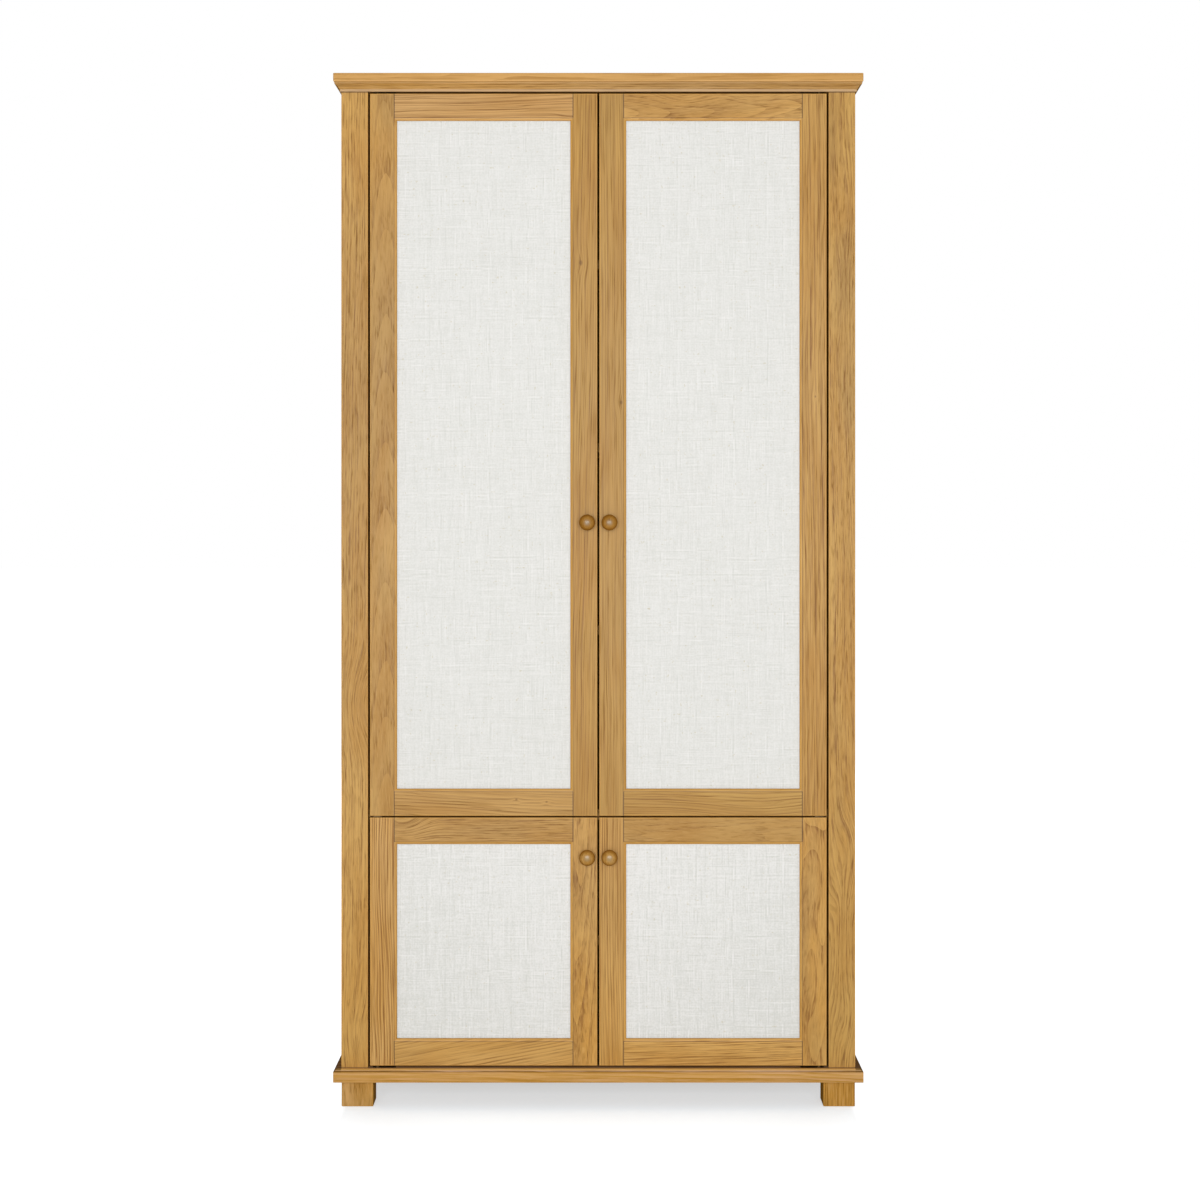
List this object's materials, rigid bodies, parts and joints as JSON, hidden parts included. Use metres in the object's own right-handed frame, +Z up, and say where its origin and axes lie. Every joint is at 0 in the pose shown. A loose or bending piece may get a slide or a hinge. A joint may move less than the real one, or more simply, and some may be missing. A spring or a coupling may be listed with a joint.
{
  "type": "linen press",
  "caption": "Oak linen press: tall doors over short doors, each a coped frame round a linen-covered panel, with turned knobs, a cove cornice, a moulded base board and block feet.",
  "frame": {"origin": "on the floor, at the middle of the bounding box in plan", "axes": "+X to the right as seen from the front, +Y to the back, +Z up; the doors face -Y"},
  "size_m": [1, 0.514, 1.9525],
  "materials": {
    "oak": "satin lacquer",
    "linen": "plain weave",
    "panel_board": "raw board",
    "back_board": "veneered board",
    "steel": "dull plated",
    "catch_plastic": "moulded"
  },
  "bodies": {
    "carcass": {"back_left_foot": "oak", "back_panel": "back_board", "back_right_foot": "oak", "back_screws": "steel", "base_board": "oak", "bottom_pivots": "steel", "cornice_front": "oak", "cornice_left": "oak", "cornice_right": "oak", "face_top_rail": "oak", "foot_bolts": "steel", "front_left_foot": "oak", "front_right_foot": "oak", "left_face_stile": "oak", "left_side_panel": "oak", "lower_shelf": "oak", "magnetic_catches": "catch_plastic", "mid_pivots": "steel", "mid_shelf": "oak", "right_face_stile": "oak", "right_side_panel": "oak", "shelf_pegs": "steel", "top_board": "oak", "top_pivots": "steel", "upper_shelf_high": "oak", "upper_shelf_low": "oak", "upper_shelf_middle": "oak"},
    "upper_left_door": {"upper_left_bottom_rail": "oak", "upper_left_fittings": "steel", "upper_left_hinge_stile": "oak", "upper_left_knob": "oak", "upper_left_linen": "linen", "upper_left_meeting_stile": "oak", "upper_left_panel_board": "panel_board", "upper_left_top_rail": "oak"},
    "upper_right_door": {"upper_right_bottom_rail": "oak", "upper_right_fittings": "steel", "upper_right_hinge_stile": "oak", "upper_right_knob": "oak", "upper_right_linen": "linen", "upper_right_meeting_stile": "oak", "upper_right_panel_board": "panel_board", "upper_right_top_rail": "oak"},
    "lower_left_door": {"lower_left_bottom_rail": "oak", "lower_left_fittings": "steel", "lower_left_hinge_stile": "oak", "lower_left_knob": "oak", "lower_left_linen": "linen", "lower_left_meeting_stile": "oak", "lower_left_panel_board": "panel_board", "lower_left_top_rail": "oak"},
    "lower_right_door": {"lower_right_bottom_rail": "oak", "lower_right_fittings": "steel", "lower_right_hinge_stile": "oak", "lower_right_knob": "oak", "lower_right_linen": "linen", "lower_right_meeting_stile": "oak", "lower_right_panel_board": "panel_board", "lower_right_top_rail": "oak"}
  },
  "joints": [
    {"name": "upper_left_door_hinge", "type": "hinge", "parent": "carcass", "child": "upper_left_door", "pos_m": [-0.418, -0.221, 1.23285], "axis": [0, 0, -1], "range_deg": [0, 110]},
    {"name": "upper_right_door_hinge", "type": "hinge", "parent": "carcass", "child": "upper_right_door", "pos_m": [0.418, -0.221, 1.23285], "axis": [0, 0, 1], "range_deg": [0, 110]},
    {"name": "lower_left_door_hinge", "type": "hinge", "parent": "carcass", "child": "lower_left_door", "pos_m": [-0.418, -0.221, 0.3122], "axis": [0, 0, -1], "range_deg": [0, 110]},
    {"name": "lower_right_door_hinge", "type": "hinge", "parent": "carcass", "child": "lower_right_door", "pos_m": [0.418, -0.221, 0.3122], "axis": [0, 0, 1], "range_deg": [0, 110]}
  ]
}
